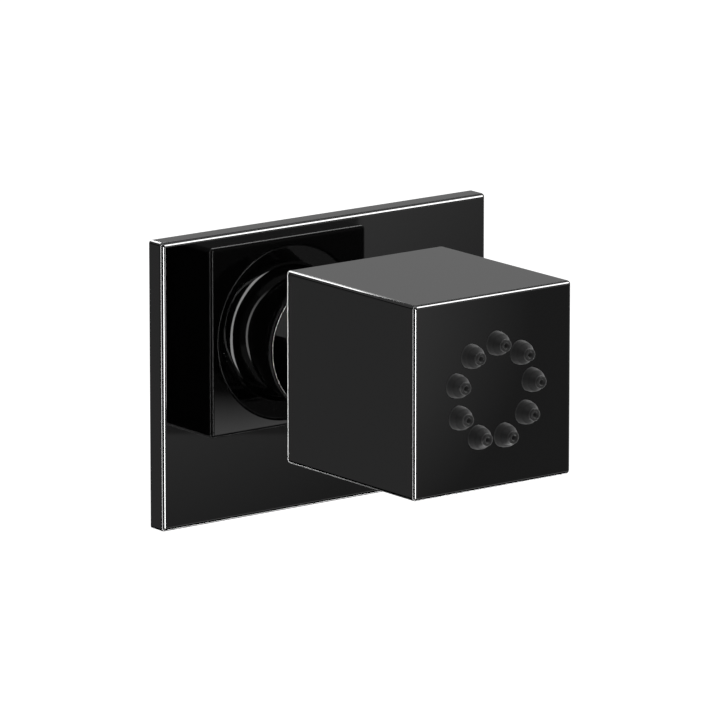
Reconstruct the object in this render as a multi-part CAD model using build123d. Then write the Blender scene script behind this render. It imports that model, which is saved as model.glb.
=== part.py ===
"""Wall-mounted shower body jet: a square head that swivels on a ball in front of a rectangular plate.

The axis of the jet is the Y axis. The wall plane is y = 0, the supply pipe is on the +Y side, and
the head points to -Y. "out" is a distance out from the wall along the axis, so y = -out, and turned
pieces are outlines of (radius, out) points spun about the axis.
"""
from build123d import *
from math import cos, radians, sin, sqrt
import os

# Wall plate
plate_width = 104.0
plate_height = 75.0
plate_thickness = 5.5
plate_edge_round = 1.2
plate_corner_round = 0.8
plate_drop = 4.85  # how far the plate's centre lies below the axis
plate_rim = 5.0  # solid rim round the pocket at the back
pocket_depth = 2.5
pocket_corner_round = 3.0
plate_boss_radius = 19.0
plate_hole_radius = 12.3

# Inlet nipple, G1/2 outside thread towards the wall
thread_radius = 10.4775
thread_length = 15.0
thread_lead_in = 1.0
flange_radius = 15.5
flange_thickness = 3.0
nose_radius = 12.0
nose_length = 10.0  # screwed into the stem, from the plate's front
nipple_bore_radius = 6.5
hex_across_flats = 14.0
hex_depth = 7.0
filter_seat_radius = 8.0
filter_seat_depth = 9.0
filter_rim_thickness = 1.2
filter_wall = 0.8
filter_clearance = 0.6  # between the basket and the nipple's bore
filter_length = 7.0
filter_taper = 1.2
filter_slot = 0.8
limiter_length = 6.0
limiter_floor = 1.5
limiter_wall = 1.85
limiter_pin_radius = 1.6
limiter_hole_radius = 0.6
limiter_hole_count = 6
limiter_groove = 2.2  # from the limiter's front to the middle of its O-ring
limiter_section = 0.5
inlet_seal_radius = 13.2  # middle of the ring
inlet_seal_section = 0.9
oring_section = 0.75  # all inner O-rings, half their thickness

# Ball joint
gap_to_head = 16.0  # from the plate's front to the back of the head
ball_radius = 18.0
ball_depth = 5.0  # from the back of the head to the ball's centre
ball_front = 16.6  # from the ball's centre to its flat outlet face
stem_radius = 14.5
stem_bore_radius = 6.0
stem_mouth_chamfer = 0.6
sleeve_base_radius = 18.0
sleeve_top_radius = 16.0
sleeve_top = 11.9  # from the plate's front
sleeve_base_round = 0.5
sleeve_top_round = 0.2
sleeve_gasket_thickness = 0.5
sleeve_gasket_inset = 1.0
grub_screw_radius = 1.75
grub_screw_out = 6.0  # from the plate's front
grub_screw_sink = 0.5  # below the sleeve's surface
grub_screw_bite = 1.4  # into the stem
grub_socket_depth = 1.6

# Ball seats and seal
seat_clearance = 0.25  # ball to seat, and seat to socket
seat_thickness = 1.5
rear_seat_from = 92.0  # angles from the +Y direction, at the ball's centre
rear_seat_to = 103.0
front_seat_from = 116.0
front_seat_to = 128.0
seal_outer_radius = 14.0
seal_inner_radius = 11.0
seal_clearance = 0.15
seal_land = 1.2  # least thickness of the seal, at its hole
spring_inset = 0.2  # of the spring washer's edges from the seal's
spring_thickness = 0.6
spring_rise = 0.9

# Head
head_width = 50.0
head_height = 50.0
head_length = 53.0
head_edge_round = 1.0
head_bore_radius = 22.0
face_thickness = 3.5
retainer_radius = 23.1
retainer_length = 9.0
retainer_dish = 0.8
lip_clearance = 0.3
lip_width = 1.0
lip_flat = 0.6
insert_length = 17.0
insert_groove = 4.0  # from the insert's front to the middle of its O-ring
throat_radius = 8.0

# Water chamber and nozzles
cover_thickness = 3.0
screen_thickness = 1.2
screen_ledge = 1.5
screen_hole_radius = 0.8
screen_hole_pitch = 2.6
chamber_wall = 2.4
mat_thickness = 2.0
mat_radius = 20.0
nozzle_count = 9
nozzle_ring_radius = 12.2
nozzle_start_angle = 86.0
nozzle_base_radius = 3.1
nozzle_shoulder_radius = 2.7
nozzle_tip_radius = 1.6
nozzle_reach = 4.3  # out of the head's face, like the next three
nozzle_foot = 0.4
nozzle_shoulder = 2.1
nozzle_neck = 3.4
nozzle_foot_round = 0.9
nozzle_shoulder_round = 0.9
nozzle_neck_round = 0.35
nozzle_lip_round = 0.35
nozzle_bore_radius = 1.6
nozzle_outlet_radius = 0.8
nozzle_hole_clearance = 0.15
screw_count = 4
screw_ring_radius = 16.2
screw_radius = 1.5
screw_head_radius = 2.6
screw_head_height = 1.6
screw_length = 9.0
screw_boss_radius = 3.0

# Running allowances between pieces that don't move on each other
fit_gap = 0.05
overshoot = 0.5  # overshoot of cutting tools

# Places along the axis, all from the sizes above
plate_front = plate_thickness
head_back = plate_front + gap_to_head
ball_centre = head_back + ball_depth
retainer_end = head_back + retainer_length
insert_end = retainer_end + insert_length
cover_end = insert_end + cover_thickness
face_front = head_back + head_length
face_back = face_front - face_thickness
mat_back = face_back - mat_thickness
socket_radius = ball_radius + seat_thickness + 2 * seat_clearance


def turned(points, rounds=None):
    """Spins a closed outline of (radius, out) points, with a round at each if given, about the axis."""
    corners = [(r, -out) for r, out in points]
    if rounds:
        outline = FilletPolyline(*corners, radius=rounds, close=True)
    else:
        outline = Polyline(*corners, close=True)
    return revolve(make_face(outline), Axis.Y, 360)


def rod(radius, out_from, out_to, x=0.0, z=0.0):
    """Plain cylinder along the jet's axis between two distances out from the wall."""
    middle = -(out_from + out_to) / 2
    return Pos(x, middle, z) * Rot(90, 0, 0) * Cylinder(radius, abs(out_to - out_from))


def ring(inner, outer, out_from, out_to):
    """Flat ring about the jet's axis."""
    return turned([(inner, out_from), (outer, out_from), (outer, out_to), (inner, out_to)])


def ball(radius):
    """Sphere about the centre of the swivel."""
    return Pos(0, -ball_centre, 0) * Sphere(radius)


def torus_ring(middle_radius, section_radius, out):
    """O-ring about the jet's axis."""
    return Pos(0, -out, 0) * Rot(90, 0, 0) * Torus(middle_radius, section_radius)


def rim_edges(part, radius, out):
    """The round edges of a turned part that have this radius at this distance out."""
    circles = part.edges().filter_by(GeomType.CIRCLE)
    return [e for e in circles if abs(e.radius - radius) < 0.01 and abs(e.arc_center.Y + out) < 0.01]


def on_ring(count, radius, start):
    """Places spaced evenly on a circle about the axis, seen from the front, as (x, z) pairs."""
    angles = [radians(start + 360 / count * k) for k in range(count)]
    return [(radius * cos(a), radius * sin(a)) for a in angles]


def block(width, height, out_from, out_to, drop=0.0, corner=0.0):
    """Rectangular block square to the axis, its corners rounded if a corner radius is given."""
    base = Plane(origin=(0, -out_from, -drop), x_dir=(1, 0, 0), z_dir=(0, -1, 0))
    shape = RectangleRounded(width, height, corner) if corner else Rectangle(width, height)
    return extrude(base * shape, out_to - out_from)


def wall_plate():
    """Cover plate with rounded front edges, a pocket behind and a boss round the pipe hole."""
    body = block(plate_width, plate_height, 0, plate_thickness, plate_drop)
    uprights = body.edges().filter_by(Axis.Y)
    body = fillet(uprights, plate_corner_round)
    front = body.faces().sort_by(Axis.Y)[0]
    body = fillet(front.edges(), plate_edge_round)
    pocket = block(
        plate_width - 2 * plate_rim,
        plate_height - 2 * plate_rim,
        -overshoot,
        pocket_depth,
        plate_drop,
        pocket_corner_round,
    )
    pocket -= rod(plate_boss_radius, -2 * overshoot, plate_thickness)
    body -= pocket
    body -= rod(plate_hole_radius, -overshoot, plate_thickness + overshoot)
    return body - rod(flange_radius + fit_gap, -overshoot, flange_thickness)


def plate_gasket():
    """Foam sheet that fills the plate's pocket and lies flush with its rim."""
    sheet = block(
        plate_width - 2 * (plate_rim + fit_gap),
        plate_height - 2 * (plate_rim + fit_gap),
        0,
        pocket_depth,
        plate_drop,
        pocket_corner_round,
    )
    return sheet - rod(plate_boss_radius + fit_gap, -overshoot, pocket_depth + overshoot)


def inlet_nipple():
    """Brass nipple: thread into the wall, flange in the plate, nose into the stem, hex socket in the nose."""
    nose_end = plate_front + nose_length
    body = turned([
        (0, -thread_length - thread_lead_in),
        (thread_radius - thread_lead_in, -thread_length - thread_lead_in),
        (thread_radius, -thread_length),
        (thread_radius, 0),
        (flange_radius, 0),
        (flange_radius, flange_thickness),
        (nose_radius, flange_thickness),
        (nose_radius, nose_end - thread_lead_in),
        (nose_radius - thread_lead_in, nose_end),
        (0, nose_end),
    ])
    mouth = -thread_length - thread_lead_in
    body -= rod(nipple_bore_radius, mouth - overshoot, nose_end + overshoot)
    body -= rod(filter_seat_radius, mouth - overshoot, mouth + filter_seat_depth)
    socket_plane = Plane(origin=(0, -nose_end - overshoot, 0), x_dir=(1, 0, 0), z_dir=(0, 1, 0))
    hexagon = RegularPolygon(hex_across_flats / 2, 6, major_radius=False)
    body -= extrude(socket_plane * hexagon, hex_depth + overshoot)
    groove = ring(
        inlet_seal_radius - inlet_seal_section,
        inlet_seal_radius + inlet_seal_section,
        -overshoot,
        2 * inlet_seal_section,
    )
    return body - groove


def inlet_seal():
    """O-ring that seals the flange on the pipe's face."""
    return torus_ring(inlet_seal_radius, inlet_seal_section - fit_gap / 2, inlet_seal_section)


def inlet_filter():
    """Basket filter: a rim on its seat and a tapered cup with slotted walls."""
    seat = filter_seat_depth - thread_length - thread_lead_in
    end = seat + filter_length
    cup = nipple_bore_radius - filter_clearance
    body = turned([
        (cup - filter_wall, seat - filter_rim_thickness),
        (filter_seat_radius - fit_gap, seat - filter_rim_thickness),
        (filter_seat_radius - fit_gap, seat),
        (cup, seat),
        (cup - filter_taper, end),
        (0, end),
        (0, end - filter_wall),
        (cup - filter_taper - filter_wall, end - filter_wall),
    ])
    slot_length = filter_length - 3 * filter_wall
    for k in range(4):
        slot = Box(2 * filter_seat_radius, slot_length, filter_slot)
        body -= Pos(0, -(seat + end) / 2, 0) * Rot(0, 45 * k, 0) * slot
    return body


def limiter_front():
    """Where the flow limiter's front lies, on the floor of the hex socket."""
    return plate_front + nose_length - hex_depth


def flow_limiter():
    """Round cartridge with a flanged head, a central pin and metering holes."""
    front = limiter_front()
    back = front - limiter_length
    outer = nipple_bore_radius - fit_gap
    body = rod(outer, back, front) - rod(outer - limiter_wall, back - overshoot, front - limiter_floor)
    body += rod(limiter_pin_radius, back, front - limiter_floor / 2)
    hole_ring = (outer - limiter_wall + limiter_pin_radius) / 2
    for x, z in on_ring(limiter_hole_count, hole_ring, 0):
        body -= rod(limiter_hole_radius, back - overshoot, front + overshoot, x, z)
    groove = front - limiter_groove
    floor = outer - 2 * limiter_section
    return body - ring(floor, outer + overshoot, groove - limiter_section, groove + limiter_section)


def limiter_oring():
    """O-ring in the limiter's groove."""
    middle = nipple_bore_radius - fit_gap - limiter_section
    return torus_ring(middle, limiter_section - fit_gap, limiter_front() - limiter_groove)


def ball_stem():
    """Brass stem screwed on the nipple, with the hollow swivel ball at its end."""
    start = plate_front + sleeve_gasket_thickness
    flat = ball_centre + ball_front
    body = ball(ball_radius) & rod(ball_radius + overshoot, start, flat)
    body += ring(0, stem_radius, start, ball_centre)
    body -= rod(stem_bore_radius, start - overshoot, flat + overshoot)
    nose_end = plate_front + nose_length
    body -= rod(nose_radius + fit_gap, start - overshoot, nose_end + fit_gap)
    body = chamfer(rim_edges(body, stem_bore_radius, flat), stem_mouth_chamfer)
    body -= ring(
        nose_radius,
        nose_radius + 2 * oring_section,
        stem_oring_out() - oring_section,
        stem_oring_out() + oring_section,
    )
    return body - screw_hole()


def stem_oring_out():
    """Middle of the O-ring groove in the stem's foot."""
    return plate_front + sleeve_gasket_thickness + 2 * oring_section


def upright_rod(radius, low, high):
    """Cylinder on the grub screw's upright axis, between two distances below the jet's axis."""
    return Pos(0, -(plate_front + grub_screw_out), -(low + high) / 2) * Cylinder(radius, abs(high - low))


def screw_hole():
    """Radial hole for the sleeve's grub screw, from below."""
    return upright_rod(grub_screw_radius, stem_radius - grub_screw_bite, sleeve_base_radius + overshoot)


def stem_oring():
    """O-ring between the nipple's nose and the stem."""
    return torus_ring(nose_radius + oring_section, oring_section - fit_gap, stem_oring_out())


def sleeve_radius(out):
    """Outer radius of the tapered sleeve at a distance out from the wall."""
    share = (out - plate_front) / sleeve_top
    return sleeve_base_radius + (sleeve_top_radius - sleeve_base_radius) * share


def stem_sleeve():
    """Tapered sleeve with a rounded foot; its inside follows the stem and clears the ball."""
    start = plate_front + sleeve_gasket_thickness
    top = plate_front + sleeve_top
    body = turned([(0, start), (sleeve_radius(start), start), (sleeve_top_radius, top), (0, top)])
    body = fillet(rim_edges(body, sleeve_radius(start), start), sleeve_base_round)
    body = fillet(rim_edges(body, sleeve_top_radius, top), sleeve_top_round)
    body -= rod(stem_radius + fit_gap, start - overshoot, top + overshoot)
    body -= ball(ball_radius + fit_gap)
    return body - screw_hole()


def sleeve_gasket():
    """Flat ring between the plate and the sleeve's foot."""
    inner = plate_hole_radius + sleeve_gasket_inset
    outer = sleeve_base_radius - sleeve_gasket_inset
    return ring(inner, outer, plate_front, plate_front + sleeve_gasket_thickness)


def sleeve_grub_screw():
    """Headless screw in the underside of the sleeve, with a hex socket."""
    low = sleeve_radius(plate_front + grub_screw_out) - grub_screw_sink
    body = upright_rod(grub_screw_radius - fit_gap, stem_radius - grub_screw_bite, low)
    socket = Pos(0, -(plate_front + grub_screw_out), -low) * extrude(
        RegularPolygon(grub_screw_radius / 2, 6), grub_socket_depth
    )
    return body - socket


def seat_zone(angle_from, angle_to, clearance, thickness):
    """Zone of a spherical shell round the ball between two angles from the +Y direction."""
    inner = ball_radius + clearance
    outer = inner + thickness
    cone_from = [(inner - thickness, angle_from), (outer + thickness, angle_from)]
    cone_to = [(outer + thickness, angle_to), (inner - thickness, angle_to)]
    points = []
    for reach, angle in cone_from + cone_to:
        points.append((reach * sin(radians(angle)), ball_centre - reach * cos(radians(angle))))
    wedge = turned(points)
    return (ball(outer) - ball(inner)) & wedge


def rear_seat_ring():
    """Floating ball seat on the wall side."""
    return seat_zone(rear_seat_from, rear_seat_to, seat_clearance, seat_thickness)


def front_seat_ring():
    """Floating ball seat on the water side."""
    return seat_zone(front_seat_from, front_seat_to, seat_clearance, seat_thickness)


def head_shell():
    """Square head with its face in one piece, bored from behind, with a hole for each nozzle."""
    body = block(head_width, head_height, head_back, face_front)
    body = fillet(body.edges(), head_edge_round)
    body -= rod(retainer_radius, head_back - overshoot, retainer_end)
    body -= rod(head_bore_radius, retainer_end - overshoot, face_back)
    nozzle_hole_radius = nozzle_base_radius + nozzle_hole_clearance
    for x, z in on_ring(nozzle_count, nozzle_ring_radius, nozzle_start_angle):
        body -= rod(nozzle_hole_radius, face_back - overshoot, face_front + overshoot, x, z)
    return body


def lip_radius():
    """Hole radius of the retainer's lip where it meets the dished face."""
    drop = ball_depth - retainer_dish
    reach = ball_radius + lip_clearance
    return sqrt(reach * reach - drop * drop)


def ball_retainer():
    """Threaded ring with a dished back face, whose lip holds the ball."""
    dish = head_back + retainer_dish
    outer = retainer_radius - fit_gap
    body = turned([
        (0, dish),
        (lip_radius() + lip_flat, dish),
        (outer, head_back),
        (outer, retainer_end),
        (0, retainer_end),
    ])
    body -= ball(ball_radius + lip_clearance)
    relief = ball(socket_radius) & rod(outer, dish + lip_width, ball_centre + socket_radius)
    return body - relief


def outer_groove(out):
    """Cutter for an O-ring groove round a piece that fits the head's bore."""
    outer = head_bore_radius - fit_gap
    return ring(outer - 2 * oring_section, outer + overshoot, out - oring_section, out + oring_section)


def bore_oring(out):
    """O-ring that seals such a piece against the head's bore."""
    middle = head_bore_radius - fit_gap - oring_section
    return torus_ring(middle, oring_section - fit_gap, out)


def socket_insert():
    """Plastic socket: a spherical seat, the seal's recess and the water throat."""
    outer = head_bore_radius - fit_gap
    body = rod(outer, retainer_end, insert_end)
    body -= ball(socket_radius)
    body -= rod(seal_outer_radius + fit_gap, ball_centre, seal_back())
    body -= rod(throat_radius, ball_centre, insert_end + overshoot)
    return body - outer_groove(insert_end - insert_groove)


def seal_front():
    """Where the seal's ring starts, at its outer edge on the ball."""
    reach = ball_radius + seal_clearance
    return ball_centre + sqrt(reach * reach - seal_outer_radius * seal_outer_radius)


def seal_back():
    """The floor of the seal's recess in the insert."""
    return seal_spring_start() + spring_thickness + spring_rise


def seal_spring_start():
    """The back face of the seal, where the spring washer presses."""
    reach = ball_radius + seal_clearance
    return ball_centre + sqrt(reach * reach - seal_inner_radius * seal_inner_radius) + seal_land


def ball_seal():
    """Rubber ring hollowed to the ball."""
    body = ring(seal_inner_radius, seal_outer_radius, seal_front(), seal_spring_start())
    return body - ball(ball_radius + seal_clearance)


def seal_spring():
    """Dished spring washer between the seal and the insert."""
    start = seal_spring_start()
    inner = seal_inner_radius + spring_inset
    outer = seal_outer_radius - spring_inset
    return turned([
        (inner, start),
        (inner, start + spring_thickness),
        (outer, start + spring_thickness + spring_rise),
        (outer, start + spring_rise),
    ])


def insert_oring():
    """O-ring round the socket insert."""
    return bore_oring(insert_end - insert_groove)


def chamber_cover():
    """Back cover of the water chamber, with a seat for the screen."""
    outer = head_bore_radius - fit_gap
    body = rod(outer, insert_end, cover_end)
    body -= rod(throat_radius, insert_end - overshoot, insert_end + screen_thickness)
    body -= rod(throat_radius - screen_ledge, insert_end - overshoot, cover_end + overshoot)
    for x, z in on_ring(screw_count, screw_ring_radius, 45):
        body -= rod(screw_radius + fit_gap, insert_end - overshoot, cover_end + overshoot, x, z)
        body -= rod(screw_head_radius + fit_gap, insert_end - overshoot, insert_end + screw_head_height, x, z)
    return body - outer_groove((insert_end + cover_end) / 2)


def chamber_screws():
    """The four pan-head screws of the cover."""
    screws = []
    for x, z in on_ring(screw_count, screw_ring_radius, 45):
        screw = rod(screw_head_radius, insert_end + fit_gap, insert_end + screw_head_height, x, z)
        screw += rod(screw_radius, insert_end + screw_head_height, insert_end + screw_length, x, z)
        slot = Box(1.1 * screw_head_radius, screw_head_height, screw_radius / 3)
        cross = Pos(x, -insert_end, z) * (slot + Rot(0, 90, 0) * slot)
        screws.append(screw - cross)
    return Compound(children=screws)


def chamber_oring():
    """O-ring round the chamber's cover."""
    return bore_oring((insert_end + cover_end) / 2)


def chamber_filter():
    """Round screen in the cover's inlet."""
    body = rod(throat_radius - fit_gap, insert_end, insert_end + screen_thickness - fit_gap)
    body -= rod(screen_hole_radius, insert_end - overshoot, cover_end)
    for row in (1, 2):
        for x, z in on_ring(6 * row, row * screen_hole_pitch, 0):
            body -= rod(screen_hole_radius, insert_end - overshoot, cover_end, x, z)
    return body


def spray_chamber():
    """Plastic cup that spreads the water, with a feed hole behind each nozzle."""
    outer = head_bore_radius - fit_gap
    body = rod(outer, cover_end, mat_back)
    inside = rod(outer - chamber_wall, cover_end - overshoot, mat_back - chamber_wall)
    for x, z in on_ring(screw_count, screw_ring_radius, 45):
        inside -= rod(screw_boss_radius, cover_end - 2 * overshoot, mat_back, x, z)
    body -= inside
    screw_end = insert_end + screw_length
    for x, z in on_ring(screw_count, screw_ring_radius, 45):
        body -= rod(screw_radius + fit_gap, cover_end - overshoot, screw_end + overshoot, x, z)
    for x, z in on_ring(nozzle_count, nozzle_ring_radius, nozzle_start_angle):
        body -= rod(nozzle_bore_radius, mat_back - 2 * chamber_wall, mat_back + overshoot, x, z)
    return body


def nozzle(x, z):
    """One hollow bell-shaped nozzle at its place on the ring."""
    tip = face_front + nozzle_reach
    outline = [
        (0, mat_back, 0),
        (nozzle_base_radius, mat_back, 0),
        (nozzle_base_radius, face_front + nozzle_foot, nozzle_foot_round),
        (nozzle_shoulder_radius, face_front + nozzle_shoulder, nozzle_shoulder_round),
        (nozzle_tip_radius, face_front + nozzle_neck, nozzle_neck_round),
        (nozzle_tip_radius, tip, nozzle_lip_round),
        (0, tip, 0),
    ]
    bell = turned([(r, out) for r, out, bend in outline], [bend for r, out, bend in outline])
    bell -= turned([
        (0, mat_back),
        (nozzle_bore_radius, mat_back),
        (nozzle_bore_radius, face_front),
        (nozzle_outlet_radius, face_front + nozzle_shoulder),
        (0, face_front + nozzle_shoulder),
    ])
    bell -= rod(nozzle_outlet_radius, face_front, tip + overshoot)
    return Pos(x, 0, z) * bell


def nozzle_mat():
    """Silicone mat with all nozzles, the way it is moulded."""
    body = rod(mat_radius, mat_back, face_back)
    for x, z in on_ring(nozzle_count, nozzle_ring_radius, nozzle_start_angle):
        body -= rod(nozzle_bore_radius, mat_back - overshoot, face_back + overshoot, x, z)
        body += nozzle(x, z)
    return body


makers = [
    wall_plate,
    plate_gasket,
    inlet_nipple,
    inlet_seal,
    inlet_filter,
    flow_limiter,
    limiter_oring,
    ball_stem,
    stem_oring,
    stem_sleeve,
    sleeve_gasket,
    sleeve_grub_screw,
    rear_seat_ring,
    front_seat_ring,
    head_shell,
    ball_retainer,
    socket_insert,
    insert_oring,
    ball_seal,
    seal_spring,
    chamber_cover,
    chamber_screws,
    chamber_oring,
    chamber_filter,
    spray_chamber,
    nozzle_mat,
]

os.makedirs("parts", exist_ok=True)
for maker in makers:
    export_step(maker(), "parts/" + maker.__name__ + ".step")
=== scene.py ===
"""Looks of a wall-mounted shower body jet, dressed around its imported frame.

Lengths are metres in the frame of the CAD model. The jet's axis is the Y axis, the wall is the
plane y = 0, the head points to -Y and +Z is up. "out" is a distance out from the wall: y = -out.
"""
import logging
import math
from collections.abc import Callable
from dataclasses import dataclass
from enum import Enum

import bpy
from bpy.types import Material, Node, NodeLinks, NodeSocket, NodeTree, Object
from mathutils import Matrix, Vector


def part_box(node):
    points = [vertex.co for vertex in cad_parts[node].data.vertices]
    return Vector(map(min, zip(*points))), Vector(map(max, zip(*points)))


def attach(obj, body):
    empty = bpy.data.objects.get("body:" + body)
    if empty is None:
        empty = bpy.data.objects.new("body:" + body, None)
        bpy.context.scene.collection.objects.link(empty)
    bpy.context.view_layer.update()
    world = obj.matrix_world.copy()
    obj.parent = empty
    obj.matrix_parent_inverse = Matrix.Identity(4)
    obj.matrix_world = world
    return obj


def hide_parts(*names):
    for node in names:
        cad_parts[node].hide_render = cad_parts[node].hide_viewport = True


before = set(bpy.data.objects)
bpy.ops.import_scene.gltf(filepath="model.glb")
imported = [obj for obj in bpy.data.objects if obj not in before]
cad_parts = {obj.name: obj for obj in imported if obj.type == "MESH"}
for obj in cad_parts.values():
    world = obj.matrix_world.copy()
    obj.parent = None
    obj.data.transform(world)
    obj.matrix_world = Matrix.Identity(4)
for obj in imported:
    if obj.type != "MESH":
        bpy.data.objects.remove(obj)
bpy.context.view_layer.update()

LOG = logging.getLogger("body_jet")

MM = 0.001
FULL_TURN = 2 * math.pi
SMOOTH_UNDER = math.radians(30)
ROUND_STEPS = 144  # facets round a turned piece
HOLE_STEPS = 36  # facets round a small hole
FILLET_STEPS = 6  # facets across a rounded edge
OVERSHOOT = 1 * MM  # how far a cutting tool passes the piece
NUDGE = OVERSHOOT / 20  # keeps apart two faces that would lie in one plane
MERGE = 0.0005 * MM  # points nearer than this become one
ON_PLANE = MERGE / 10  # points nearer than this to a cutting plane lie on it


class Cut(Enum):
    """What a tool body does to a piece."""

    TAKE = "DIFFERENCE"
    ADD = "UNION"
    KEEP = "INTERSECT"


@dataclass(frozen=True)
class Corner:
    """A corner of a turned piece's outline, with the radius of its rounding."""

    radius: float
    out: float
    round: float = 0.0

    @property
    def place(self) -> Vector:
        """Where the corner lies before the outline is spun."""
        return Vector((self.radius, -self.out, 0.0))


def arc(radius: float, centre_out: float, start: float, end: float, steps: int) -> list[Corner]:
    """Makes the corners of an arc about a point on the axis.

    Args:
        radius: The arc's radius.
        centre_out: How far out the arc's centre lies.
        start: Where the arc starts, as an out distance.
        end: Where it ends, as an out distance.
        steps: The number of straight runs.

    Returns:
        The corners from start to end, both included.
    """
    first = math.acos((start - centre_out) / radius)
    last = math.acos((end - centre_out) / radius)
    angles = [first + (last - first) * k / steps for k in range(steps + 1)]
    return [Corner(radius * math.sin(a), centre_out + radius * math.cos(a)) for a in angles]


class Bench:
    """The workbench: primitives and the edit-mode steps that shape them."""

    @staticmethod
    def only(*pieces: Object) -> None:
        """Selects these pieces alone and makes the first one active."""
        bpy.ops.object.select_all(action="DESELECT")
        for piece in pieces:
            piece.select_set(True)
        bpy.context.view_layer.objects.active = pieces[0]

    @staticmethod
    def edit(piece: Object, mode: str = "VERT", pick: str = "SELECT") -> None:
        """Opens a piece in edit mode with all of it selected, or none of it with DESELECT."""
        Bench.only(piece)
        bpy.ops.object.mode_set(mode="EDIT")
        bpy.ops.mesh.select_mode(type=mode)
        bpy.ops.mesh.select_all(action=pick)

    @staticmethod
    def weld() -> None:
        """Merges the points of the open piece that lie on each other."""
        bpy.ops.mesh.select_all(action="SELECT")
        bpy.ops.mesh.remove_doubles(threshold=MERGE)

    @staticmethod
    def close() -> None:
        """Goes back to object mode."""
        bpy.ops.object.mode_set(mode="OBJECT")

    @staticmethod
    def pick_edges(piece: Object, wanted: Callable[[Vector, Vector], bool]) -> None:
        """Opens a piece with only the wanted edges selected.

        Args:
            piece: The piece.
            wanted: Says from an edge's two ends whether it is wanted.
        """
        Bench.edit(piece, "EDGE", "DESELECT")
        Bench.close()
        mesh = piece.data
        for edge in mesh.edges:
            first, second = (mesh.vertices[i].co for i in edge.vertices)
            edge.select = wanted(first, second)
        bpy.ops.object.mode_set(mode="EDIT")

    @staticmethod
    def block(name: str, low: Vector, high: Vector) -> Object:
        """Makes a square block between two corners.

        Args:
            name: The piece's name.
            low: Its lowest corner.
            high: Its highest corner.

        Returns:
            The block, with its place in its mesh.
        """
        bpy.ops.mesh.primitive_cube_add(size=1)
        piece = bpy.context.object
        piece.name = name
        Bench.edit(piece)
        bpy.ops.transform.resize(value=high - low)
        bpy.ops.transform.translate(value=(low + high) / 2)
        Bench.close()
        return piece

    @staticmethod
    def rod(name: str, radius: float, low: float, high: float, sides: int = ROUND_STEPS) -> Object:
        """Makes a rod on the jet's axis.

        Args:
            name: The piece's name.
            radius: Its radius.
            low: Where it starts, as an out distance.
            high: Where it ends, as an out distance.
            sides: Its number of sides.

        Returns:
            The rod.
        """
        bpy.ops.mesh.primitive_cylinder_add(vertices=sides, radius=radius, depth=high - low)
        piece = bpy.context.object
        piece.name = name
        Bench.only(piece)
        piece.rotation_euler.x = math.pi / 2
        piece.location.y = -(low + high) / 2
        bpy.ops.object.transform_apply(location=True, rotation=True, scale=True)
        return piece

    @staticmethod
    def chain(name: str, outline: list[Corner], closed: bool = True) -> Object:
        """Draws an outline by extruding one vertex from corner to corner, then rounds its corners.

        Args:
            name: The piece's name.
            outline: The corners in order.
            closed: Whether the last corner is joined to the first.

        Returns:
            The outline as a mesh of edges.
        """
        bpy.ops.mesh.primitive_plane_add(size=MM)
        piece = bpy.context.object
        piece.name = name
        Bench.edit(piece)
        bpy.ops.mesh.merge(type="CENTER")
        bpy.ops.transform.translate(value=outline[0].place)
        path = outline + outline[:1] if closed else outline
        for here, there in zip(path, path[1:]):
            step = there.place - here.place
            bpy.ops.mesh.extrude_region_move(TRANSFORM_OT_translate={"value": step})
        Bench.weld()
        Bench.close()
        for k, corner in enumerate(outline):
            if corner.round:
                before, after = outline[k - 1], outline[(k + 1) % len(outline)]
                Bench.round_corner(piece, corner, before, after)
        return piece

    @staticmethod
    def round_corner(piece: Object, corner: Corner, before: Corner, after: Corner) -> None:
        """Rounds one corner of an outline.

        Args:
            piece: The outline.
            corner: The corner, with its rounding.
            before: The corner before it.
            after: The corner after it.
        """
        bend = (corner.place - before.place).angle(after.place - corner.place)
        Bench.edit(piece, pick="DESELECT")
        Bench.close()
        nearest = min(piece.data.vertices, key=lambda v: (v.co - corner.place).length)
        nearest.select = True
        bpy.ops.object.mode_set(mode="EDIT")
        reach = corner.round * math.tan(bend / 2)
        bpy.ops.mesh.bevel(offset=reach, segments=FILLET_STEPS, affect="VERTICES")
        Bench.close()

    @staticmethod
    def turned(name: str, outline: list[Corner], sides: int = ROUND_STEPS) -> Object:
        """Spins a closed outline about the jet's axis.

        Args:
            name: The piece's name.
            outline: The corners in order.
            sides: The number of facets round the piece.

        Returns:
            The turned piece.
        """
        piece = Bench.chain(name, outline)
        Bench.edit(piece)
        bpy.ops.mesh.spin(steps=sides, angle=FULL_TURN, center=(0, 0, 0), axis=(0, 1, 0))
        Bench.weld()
        bpy.ops.mesh.normals_make_consistent(inside=False)
        Bench.close()
        return piece

    @staticmethod
    def repeated(piece: Object, shifts: list[Vector]) -> Object:
        """Puts copies in the place of a piece.

        Args:
            piece: The piece, which is thrown away.
            shifts: How far each copy is moved from it.

        Returns:
            The copies, joined into one.
        """
        copies = []
        for shift in shifts:
            Bench.only(piece)
            bpy.ops.object.duplicate(linked=False)
            copies.append(bpy.context.object)
            copies[-1].location = shift
            bpy.ops.object.transform_apply(location=True, rotation=False, scale=False)
        bpy.data.objects.remove(piece)
        Bench.only(*copies)
        bpy.ops.object.join()
        return copies[0]

    @staticmethod
    def cut(piece: Object, tool: Object, how: Cut = Cut.TAKE) -> None:
        """Cuts or joins a piece with a tool body, which is then thrown away.

        Args:
            piece: The piece.
            tool: The tool body.
            how: What the tool does.
        """
        step = piece.modifiers.new("cut", "BOOLEAN")
        step.operation = how.value
        step.solver = "EXACT"
        step.object = tool
        Bench.only(piece)
        bpy.ops.object.modifier_apply(modifier=step.name)
        bpy.data.objects.remove(tool)

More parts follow.
